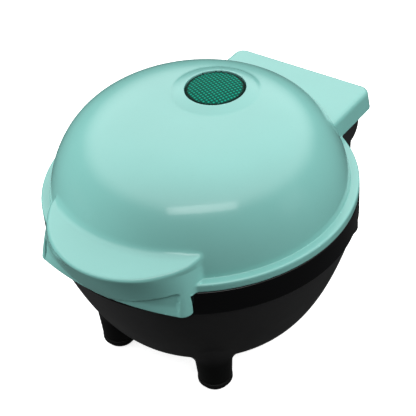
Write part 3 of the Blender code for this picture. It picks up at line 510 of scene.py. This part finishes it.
def handle_wall(x, y, z):
    """Two end walls, and a front that changes from part of an ellipse to a shallow arc below."""
    upper = squared(np.abs(x), np.maximum(HANDLE_BACK - y, 0.0), HANDLE_HALF,
                    FRONT_REACH + HANDLE_BACK, 2.0, 2.0)
    lower = np.hypot(x, y - FOOT_FRONT - FOOT_ARC) - FOOT_ARC
    lean = np.clip((LEAN_START - z) / (LEAN_START - HANDLE_LOW), 0.0, 1.0)
    return meet(upper + (lower - upper) * lean, np.abs(x) - HANDLE_END, HANDLE_CORNER)


def over_handle(x, y, z):
    """Distance above the handle's top, which slopes down away from the dome."""
    drop = HANDLE_SLOPE * (np.hypot(x, y) - HANDLE_SLOPE_START)
    return (z - HANDLE_TOP + drop) / math.hypot(1.0, HANDLE_SLOPE)


def finger_scoop(x, y, z):
    """Shallow recess in the wall on each side of the middle, under a line that climbs outward."""
    climb = (FLANGE_TOP - 0.0015 - HANDLE_LOW) / (SCOOP[1] - SCOOP[0])
    above = (z - HANDLE_LOW - climb * (np.abs(x) - SCOOP[0])) / math.hypot(1.0, climb)
    depth = SCOOP_DEPTH * np.clip((z - HANDLE_LOW - 0.0005) / 0.0040, 0.0, 1.0)
    return meet(meet(above, np.abs(x) - SCOOP[1], 0.0015), -handle_wall(x, y, z) - depth)


def handle(x, y, z):
    """The crescent in front of the dome."""
    solid = meet(handle_wall(x, y, z), over_handle(x, y, z), HANDLE_EDGE)
    solid = meet(solid, HANDLE_LOW - z, 0.0007)
    solid = without(solid, finger_scoop(x, y, z), 0.0006)
    return meet(solid, y + ROOT)


def hood(x, y, z):
    """The box behind the dome that covers the hinge; its sides widen slightly downward."""
    half = HOOD_HALF + HOOD_DRAFT * np.clip((HOOD_TOP - z) / (HOOD_TOP - HOOD_LOW), 0.0, 1.0)
    solid = meet(box_outline(x, y, half, REACH, HOOD_CORNER), z - HOOD_TOP, HOOD_EDGE)
    return meet(meet(solid, HOOD_LOW - z, 0.0004), ROOT - y)


def collar(x, y, z):
    """Raised lip round the lens with a sloping shoulder."""
    radius = np.hypot(x, y - LENS_Y)
    shoulder = (radius - LENS_RADIUS - 0.0019) * 0.52 + (z - COLLAR_TOP) * 0.85
    solid = meet(z - COLLAR_TOP, shoulder, 0.0014)
    solid = meet(solid, radius - LENS_RADIUS - 0.0060, 0.0010)
    return meet(solid, FLANGE_TOP + 0.0330 - z)


def lid_solid(x, y, z):
    """The lid's one moulding: flange, dome, handle, hood and collar, hollowed from below."""
    radius = np.hypot(x, y)
    flange = meet(radius - RIM, z - FLANGE_TOP, 0.0010)
    solid = blend(dome(x, y, z), flange, 0.0004)
    solid = meet(solid, FLANGE_LOW - z, 0.0004)
    fillet = 0.0008 + (HANDLE_FILLET - 0.0008) * np.clip(-handle_wall(x, y, z) / 0.0060, 0.0, 1.0)
    solid = blend(solid, handle(x, y, z), fillet)
    solid = blend(solid, hood(x, y, z), 0.0007)
    solid = blend(solid, collar(x, y, z), 0.0022)
    clearance = meet(radius - RIM - SKIRT_CLEARANCE, z - FLANGE_LOW)
    solid = without(solid, clearance, 0.0003)
    behind_skirt = meet(meet(z - FLANGE_LOW, SKIRT_END - y), y - 0.0500)
    solid = without(solid, behind_skirt, 0.0004)

    mouth = meet(radius - MOUTH, z - FLANGE_TOP - 0.0005)
    room = blend(mouth, meet(dome(x, y, z, WALL), FLANGE_TOP - 0.0010 - z), 0.0006)
    solid = without(solid, room, 0.0003)
    ceiling = meet(over_handle(x, y, z) + WALL, FLANGE_TOP - 0.0014 - z)
    solid = without(solid, meet(meet(handle_wall(x, y, z) + 0.0030, ceiling), y + 0.0500), 0.0003)
    hood_room = meet(box_outline(x, y, HOOD_HALF - HOOD_WALL, REACH - HOOD_WALL, 0.0030),
                     z - HOOD_TOP + HOOD_WALL, 0.0006)
    solid = without(solid, meet(meet(hood_room, 0.0550 - y), RIM + GAP - radius), 0.0003)

    lens_radius = np.hypot(x, y - LENS_Y)
    well = meet(lens_radius - LENS_RADIUS - GAP, LENS_SEAT - z)
    solid = without(solid, well, 0.0004)
    solid = without(solid, meet(lens_radius - LENS_RADIUS + 0.0022, FLANGE_TOP + 0.0200 - z), 0.0002)

    about_pin = np.hypot(y - hinge.y, z - hinge.z)
    lug_room = meet(about_pin - LUG_RADIUS - LUG_ROOM,
                    between(np.abs(x), LUG_INNER - GAP, LUG_OUTER + LUG_ROOM))
    solid = without(solid, lug_room, 0.0002)
    web = meet(np.abs(y - hinge.y) - EAR_RADIUS, between(z, hinge.z, HOOD_TOP - 0.0010))
    ear = meet(blend(web, about_pin - EAR_RADIUS), between(np.abs(x), EAR_INNER, EAR_OUTER), 0.0004)
    solid = blend(solid, ear, 0.0006)
    return without(solid, meet(about_pin - BORE, np.abs(x) - 0.0300), 0.0003)


def build_lid():
    shape = moulded(lid_solid, shell_low - AXIS, shell_high - AXIS, 0.0011)
    piece("lid_shell_fine", shape, teal, "lid", ["lid_shell"], sharp=60.0)
    floor, top = LENS_SEAT + GAP, COLLAR_TOP
    profile = rounded_profile(
        [(0.0, floor), (LENS_RADIUS, floor), (LENS_RADIUS, top - 0.0006), (0.0105, top + 0.00005),
         (0.0060, top + 0.00035), (0.0, top + 0.00045)], [0.0, 0.0002, 0.0008, 0.0200, 0.0200, 0.0])
    shape = turned(profile, 160, "Z", (0.0, LENS_Y, 0.0))
    piece("indicator_lens_fine", shape, lens_green, "lid", ["indicator_lens"])


# ---- base -------------------------------------------------------------------------------------
def bowl_curve(inset=0.0, steps=48):
    """Heights and radii of the bowl's outline, moved inward by inset."""
    start = Vector((BOWL_TOP - inset, BAND_BOTTOM - GAP))
    belly = Vector((BOWL_BELLY[0] - inset, BOWL_BELLY[1] + inset * 0.6))
    end = Vector((BOWL_FLOOR_RADIUS - inset, BOWL_FLOOR + inset))
    spots = [(1 - t) ** 2 * start + 2 * t * (1 - t) * belly + t ** 2 * end
             for t in (step / steps for step in range(steps, -1, -1))]
    return np.array([spot.y for spot in spots]), np.array([spot.x for spot in spots])


OUTER_CURVE, INNER_CURVE = bowl_curve(), bowl_curve(WALL)


def inside_curve(curve, radius, z):
    """Distance outside a turned outline."""
    heights, radii = curve
    slopes = np.gradient(radii, heights)
    return (radius - np.interp(z, heights, radii)) / np.hypot(1.0, np.interp(z, heights, slopes))


def bowl_outside(x, y, z):
    """The filled bowl, up to the band."""
    side = inside_curve(OUTER_CURVE, np.hypot(x, y), z)
    return meet(meet(side, BOWL_FLOOR - z, 0.0025), z - BAND_BOTTOM + GAP, 0.0004)


def bowl_solid(x, y, z):
    """The lower housing: a thin bowl with a lip, four legs, two posts and the screw holes."""
    radius = np.hypot(x, y)
    lip = meet(radius - BOWL_LIP, between(z, BAND_BOTTOM - 0.0040, BOWL_LIP_TOP), 0.0004)
    solid = blend(bowl_outside(x, y, z), lip)
    from_leg = np.hypot(np.abs(x) - FOOT_X, np.abs(y) - FOOT_Y)
    taper = np.interp(z, [PAD_TOP + GAP, 0.0220], [PAD_RADIUS - 0.0002, LEG_RADIUS])
    leg = meet(from_leg - taper, between(z, PAD_TOP + GAP, 0.0300), 0.0004)
    solid = blend(solid, leg, 0.0022)
    room = meet(inside_curve(INNER_CURVE, radius, z), BOWL_FLOOR + WALL - z, 0.0015)
    room = meet(room, z - BAND_BOTTOM + 0.0020)
    room = blend(room, meet(radius - BOWL_LIP + 0.0020, BAND_BOTTOM - 0.0040 - z))
    solid = without(solid, room, 0.0004)
    for post_y, post_top in ((0.0100, 0.0257), (HEEL_SCREW_Y, 0.0250)):
        post = meet(np.hypot(x, y - post_y) - POST_RADIUS,
                    between(z, BOWL_FLOOR + 0.0010, post_top), 0.0004)
        solid = blend(solid, post, 0.0006)
    solid = without(solid, meet(np.hypot(x, z - CORD_Z) - 0.0045, 0.0400 - y), 0.0003)
    screw_hole = np.hypot(np.abs(x) - BRACKET_SCREW[0], z - BRACKET_SCREW[1]) - SCREW_HOLE
    solid = without(solid, meet(screw_hole, 0.0500 - y), 0.0002)
    heel_hole = meet(np.hypot(x, y - HEEL_SCREW_Y) - SCREW_HOLE, z - 0.0230)
    return without(solid, heel_hole, 0.0002)


def tab_space(x, y):
    """Distance along and across the nearest tab."""
    along = np.full(x.shape, -1.0)
    across = np.zeros(x.shape)
    for angle in SCREW_ANGLES:
        turn = math.radians(angle)
        forward = x * math.cos(turn) + y * math.sin(turn)
        sideways = y * math.cos(turn) - x * math.sin(turn)
        across = np.where(forward > along, sideways, across)
        along = np.maximum(along, forward)
    return along, across


def band_solid(x, y, z):
    """The ring round the top of the base, with three tabs that carry the plate."""
    radius = np.hypot(x, y)
    outer = meet(radius - RIM + np.clip(BASE_TOP - 0.0010 - z, 0.0, 1.0) * 0.015, z - BASE_TOP, 0.0006)
    solid = meet(outer, BAND_BOTTOM - z, 0.0008)
    inner = np.where(z > BOWL_LIP_TOP + GAP, radius - MOUTH, radius - BOWL_LIP - GAP)
    solid = without(solid, inner, 0.0003)
    along, across = tab_space(x, y)
    top = BASE_TOP - BOSS_DEPTH - GAP
    low = top - TAB_THICKNESS
    flat = meet(between(along, TAB_INNER, TAB_OUTER), between(z, low, top))
    hook = meet(between(along, TAB_OUTER - 0.0020, TAB_OUTER), between(z, low, BOWL_LIP_TOP + 0.0010))
    tab = meet(blend(flat, hook, 0.0005), np.abs(across) - TAB_HALF, 0.0005)
    tab = without(tab, np.hypot(along - SCREW_RING, across) - SCREW_HOLE, 0.0002)
    return blend(solid, tab, 0.0004)


def bracket_solid(x, y, z):
    """The rear support: saddle, two lugs, hollow spine and a heel open below."""
    radius = np.hypot(x, y)
    inner, outer, low, high = SADDLE
    solid = meet(between(radius, inner - 0.0020, outer), between(z, low, high), 0.0006)
    solid = meet(meet(solid, np.abs(x) - LUG_OUTER, 0.0006), 0.0300 - y)
    about_pin = np.hypot(y - hinge.y, z - hinge.z)
    rear = ((y - outer + 0.0008) * 0.0129 - (z - low) * 0.0016) / 0.0130
    web = meet(meet(rear, between(z, low, hinge.z)), 0.0600 - y)
    lug = meet(blend(web, about_pin - LUG_RADIUS), between(np.abs(x), LUG_INNER, LUG_OUTER), 0.0008)
    solid = blend(solid, lug, 0.0010)
    spine = meet(meet(np.abs(x) - SPINE_HALF, between(y, 0.0300, SPINE_BACK), 0.0014),
                 between(z, HEEL_LOW + 0.0010, low + 0.0060), 0.0008)
    heel = meet(box_outline(x, y, HEEL_HALF, HEEL_BACK, 0.0080), between(z, HEEL_LOW, HEEL_TOP), 0.0010)
    heel = meet(heel, 0.0490 - y)
    tray = meet(box_outline(x, y, HEEL_HALF - 0.0028, HEEL_BACK - 0.0028, 0.0055),
                HEEL_LOW + 0.0028 - z, 0.0010)
    heel = without(heel, tray, 0.0008)
    hole = np.hypot(np.abs(x) - BRACKET_SCREW[0], z - BRACKET_SCREW[1])
    boss = meet(hole - POST_RADIUS, between(y, 0.0500, 0.0745), 0.0004)
    solid = blend(solid, boss, 0.0006)
    solid = blend(solid, spine, 0.0012)
    solid = blend(solid, heel, 0.0012)
    room = meet(np.abs(x) - SPINE_HALF + WALL, between(y, 0.0250, SPINE_BACK - WALL), 0.0008)
    solid = without(solid, meet(room, between(z, HEEL_LOW + 0.0040, low + 0.0030)), 0.0003)
    body = meet(radius - RIM - GAP, BAND_BOTTOM - 0.0006 - z)
    bowl = meet(inside_curve(OUTER_CURVE, radius, z) - GAP, BOWL_FLOOR - GAP - z)
    solid = without(solid, blend(body, bowl), 0.0002)
    solid = without(solid, meet(about_pin - BORE, np.abs(x) - 0.0338), 0.0003)
    solid = without(solid, meet(hole - SCREW_HOLE, 0.0400 - y), 0.0002)
    solid = without(solid, meet(hole - 0.0036, BRACKET_SEAT_Y - y), 0.0002)
    solid = without(solid, meet(np.hypot(x, z - CORD_Z) - 0.0043, 0.0700 - y), 0.0003)
    return without(solid, meet(np.hypot(x, y - HEEL_SCREW_Y) - SCREW_HOLE, z - 0.0200), 0.0002)


def build_base():
    low, high = (-0.0722, -0.0722, PAD_TOP), (0.0722, 0.0722, BOWL_LIP_TOP)
    piece("base_bowl_fine", moulded(bowl_solid, low, high, 0.0013), charcoal, "base", ["base_bowl"],
          sharp=50.0)
    shape = moulded(band_solid, band_low - AXIS, band_high - AXIS, 0.0014)
    piece("base_band_fine", shape, gloss_black, "base", ["base_band"], sharp=50.0)
    shape = moulded(bracket_solid, bracket_low - AXIS, bracket_high - AXIS, 0.0010)
    piece("hinge_bracket_fine", shape, charcoal, "base", ["hinge_bracket"],
          sharp=50.0)
    profile = rounded_profile(
        [(0.0, 0.0007), (0.0036, 0.0007), (0.0042, 0.0), (0.0060, 0.0), (PAD_RADIUS, 0.0030),
         (PAD_RADIUS, PAD_TOP), (0.0, PAD_TOP)], [0.0, 0.0003, 0.0003, 0.0018, 0.0012, 0.0003, 0.0])
    for depth, y in (("front", -FOOT_Y), ("rear", FOOT_Y)):
        for side, x in (("left", -FOOT_X), ("right", FOOT_X)):
            name = f"foot_pad_{depth}_{side}"
            piece(f"{name}_fine", turned(profile, 64, "Z", (x, y, 0.0)), rubber, "base", [name])
    outline = [(0.0, -PIN_END), (PIN_RADIUS, -PIN_END), (PIN_RADIUS, PIN_END), (0.0, PIN_END)]
    profile = rounded_profile(outline, [0.0, 0.0005, 0.0005, 0.0])
    piece("hinge_pin_fine", turned(profile, 48, "X", tuple(hinge)), steel, "base", ["hinge_pin"])
    wall = SPINE_BACK - WALL
    outline = [(0.0026, wall - 0.0020), (0.0054, wall - 0.0020), (0.0054, wall - GAP),
               (0.0040, wall - GAP), (0.0040, SPINE_BACK + GAP), (0.0058, SPINE_BACK + GAP),
               (0.0052, SPINE_BACK + 0.0025), (0.0026, SPINE_BACK + 0.0025)]
    profile = rounded_profile(outline, [0.0004, 0.0005, 0.0003, 0.0, 0.0, 0.0005, 0.0006, 0.0005])
    piece("cord_bushing_fine", turned(profile, 64, "Y", (0.0, 0.0, CORD_Z)), rubber, "base",
          ["cord_bushing"])


# ---- baking plates and screws -------------------------------------------------------------------
def plate_solid(x, y, z):
    """The lower plate: a flat land with four ring-shaped hollows and their cups below."""
    depth = BASE_TOP - z
    solid = meet(np.hypot(x, y) - PLATE_RADIUS, between(depth, 0.0, PLATE_LAND), 0.0006)
    centre = DONUT_RING / math.sqrt(2.0)
    from_donut = np.hypot(np.abs(x) - centre, np.abs(y) - centre)
    across = np.abs(from_donut - DONUT_RADIUS)
    below = np.maximum(depth, 0.0)
    wall = CUP_DEPTH - DONUT_DEPTH
    cup = meet(squared(across, below, DONUT_HALF + wall * 0.65, CUP_DEPTH, 2.2, 2.2), -depth)
    solid = blend(solid, cup, 0.0016)
    hub = meet(from_donut - HUB_RADIUS, between(depth, 0.0, HUB_DEPTH))
    solid = blend(solid, hub, 0.0016)
    along, sideways = tab_space(x, y)
    from_screw = np.hypot(along - SCREW_RING, sideways)
    solid = blend(solid, meet(from_screw - 0.0032, between(depth, 0.0010, BOSS_DEPTH), 0.0003), 0.0008)
    solid = meet(solid, -depth)
    hollow = squared(across, below, DONUT_HALF, DONUT_DEPTH, 2.0, 2.0)
    solid = without(solid, hollow, 0.0006)
    return without(solid, meet(from_screw - SCREW_HOLE, 0.0016 - depth), 0.0002)


def screw_shape(length):
    """Pan head with a cross recess below, a shank with a shallow thread above."""
    def solid(x, y, z):
        radius = np.hypot(x, y)
        crown = np.hypot(radius, z - 0.0018) - 0.0036
        head = meet(meet(radius - SCREW_HEAD, crown, 0.0002), between(z, -SCREW_HEIGHT, 0.0), 0.0002)
        thread = 0.00008 * np.sin(math.tau * z / 0.0008 + np.arctan2(y, x))
        shank = meet(radius - SCREW_SHANK + 0.00012 + thread, between(z, -0.0005, length), 0.0004)
        slots = np.minimum(meet(np.abs(x) - 0.00032, np.abs(y) - 0.00150),
                           meet(np.abs(y) - 0.00032, np.abs(x) - 0.00150))
        return without(blend(head, shank, 0.0001), meet(slots, z + SCREW_HEIGHT - 0.0009), 0.0001)
    return moulded(solid, (-SCREW_HEAD, -SCREW_HEAD, -SCREW_HEIGHT), (SCREW_HEAD, SCREW_HEAD, length),
                   0.00035, turn=30.0, finest=0.0001, rounds=1)


def build_plates():
    shape = moulded(plate_solid, (-PLATE_RADIUS, -PLATE_RADIUS, BASE_TOP - CUP_DEPTH),
                    (PLATE_RADIUS, PLATE_RADIUS, BASE_TOP), 0.0013)
    above = shape.copy()
    turn = Matrix.Translation((0.0, 0.0, MIRROR_SUM)) @ Matrix.Diagonal((1.0, 1.0, -1.0, 1.0))
    bmesh.ops.transform(above, matrix=turn, verts=above.verts)
    piece("lower_baking_plate_fine", shape, nonstick, "base", ["lower_baking_plate"],
          sharp=50.0)
    piece("upper_baking_plate_fine", above, nonstick, "lid", ["upper_baking_plate"],
          sharp=50.0)


def build_screws():
    across, up = BRACKET_SCREW
    for length, names, turn in (
            (0.0120, (("bracket_screw_left", (-across, BRACKET_SEAT_Y + GAP, up)),
                      ("bracket_screw_right", (across, BRACKET_SEAT_Y + GAP, up))),
             Matrix.Rotation(math.radians(90.0), 4, "X")),
            (0.0105, (("heel_screw", (0.0, HEEL_SCREW_Y, HEEL_LOW + 0.0010 - GAP)),),
             Matrix.Identity(4))):
        pattern = screw_shape(length)
        for name, place in names:
            shape = pattern.copy()
            bmesh.ops.transform(shape, matrix=Matrix.Translation(place) @ turn, verts=shape.verts)
            piece(f"{name}_fine", shape, steel, "base", [name], sharp=35.0)
        pattern.free()


INNER_FINISHES = (
    (steel, ("lower_heating_element", "upper_heating_element", "thermostat")),
    (steel, [f"{plate}_plate_screw_{number}" for plate in ("lower", "upper") for number in (1, 2, 3)]),
    (sheet, ("lower_reflector", "upper_carrier_pan")),
    (ceramic, ("terminal_block", "thermal_fuse", "lamp_holder")),
    (wire, ("supply_lead_live", "supply_lead_neutral", "element_lead", "thermostat_lead", "lamp_lead")),
    (black, ("lens_clip_ring",)),
    (lamp_glass, ("indicator_lamp",)),
)


def finish_inner_nodes():
    """The inner parts keep their own surface and get a material."""
    for finish, names in INNER_FINISHES:
        for name in names:
            materials = frame["nodes"][name].data.materials
            materials.clear()
            materials.append(finish)


# ---- floor, light and camera ------------------------------------------------------------------
CAMERA_PLACE = (0.3233, -0.4109, 0.4812)
CAMERA_TURN = (51.462, 3.933, 34.775)        # degrees
CAMERA_LENS = 123.94
CANOPY_AXIS = (-0.10, 0.25, 0.96)            # the middle of the soft light above, behind the object


def area_light(name, place, target, size, power, glossy=False):
    """A rectangular lamp aimed at the target, seen in glossy surfaces only if glossy is set."""
    light = bpy.data.lights.new(name, "AREA")
    light.shape = "RECTANGLE"
    light.size, light.size_y = size
    light.energy = power
    made = bpy.data.objects.new(name, light)
    bpy.context.scene.collection.objects.link(made)
    made.location = place
    made.rotation_euler = (Vector(target) - Vector(place)).to_track_quat("-Z", "Y").to_euler()
    made.visible_glossy = glossy


def build_stage():
    shape = bmesh.new()
    bmesh.ops.create_grid(shape, x_segments=8, y_segments=8, size=4.0)
    mesh = bpy.data.meshes.new("floor")
    shape.to_mesh(mesh)
    shape.free()
    floor = bpy.data.objects.new("floor", mesh)
    bpy.context.scene.collection.objects.link(floor)
    made = Finish("pale floor", Roughness=0.9, Emission_Strength=0.8)
    made.shader.inputs["Emission Color"].default_value = (1.0, 1.0, 1.0, 1.0)
    made.to("Base Color", made.mix(made.span(made.noise(3.0), 0.0, 1.0), (0.93, 0.93, 0.93, 1.0),
                                   (0.96, 0.96, 0.96, 1.0)))
    mesh.materials.append(made.material)
    floor.visible_glossy = False
    floor.visible_diffuse = False

    world = bpy.data.worlds.new("studio")
    bpy.context.scene.world = world
    world.use_nodes = True
    tree = world.node_tree
    direction = tree.nodes.new("ShaderNodeTexCoord").outputs["Generated"]
    toward = tree.nodes.new("ShaderNodeVectorMath")
    toward.operation = "DOT_PRODUCT"
    toward.inputs[1].default_value = CANOPY_AXIS
    tree.links.new(direction, toward.inputs[0])
    rise = tree.nodes.new("ShaderNodeMapRange")
    for socket, value in (("From Min", 0.40), ("From Max", 0.64), ("To Min", 0.04), ("To Max", 1.6)):
        rise.inputs[socket].default_value = value
    tree.links.new(toward.outputs["Value"], rise.inputs["Value"])
    tree.links.new(rise.outputs[0], tree.nodes["Background"].inputs["Strength"])
    tree.nodes["Background"].inputs["Color"].default_value = (0.98, 1.0, 0.99, 1.0)

    area_light("strip", (0.60, -0.77, 1.12), (0.0, 0.0, 0.1), (1.2, 0.26), 3.0, glossy=True)
    area_light("left fill", (-1.3, -0.8, 0.06), (0.0, 0.0, 0.06), (0.9, 0.10), 19.0)
    area_light("right fill", (1.3, 0.45, 0.42), (0.0, 0.0, 0.1), (0.5, 0.5), 7.0)

    view = bpy.data.cameras.new("camera")
    view.lens = CAMERA_LENS
    view.sensor_width = 36.0
    view.clip_start = 0.01
    camera = bpy.data.objects.new("camera", view)
    bpy.context.scene.collection.objects.link(camera)
    camera.location = Vector(CAMERA_PLACE) + AXIS
    camera.rotation_euler = [math.radians(angle) for angle in CAMERA_TURN]
    bpy.context.scene.camera = camera
    bpy.context.scene.view_settings.view_transform = "Standard"


build_lid()
build_base()
build_plates()
build_screws()
finish_inner_nodes()
build_stage()
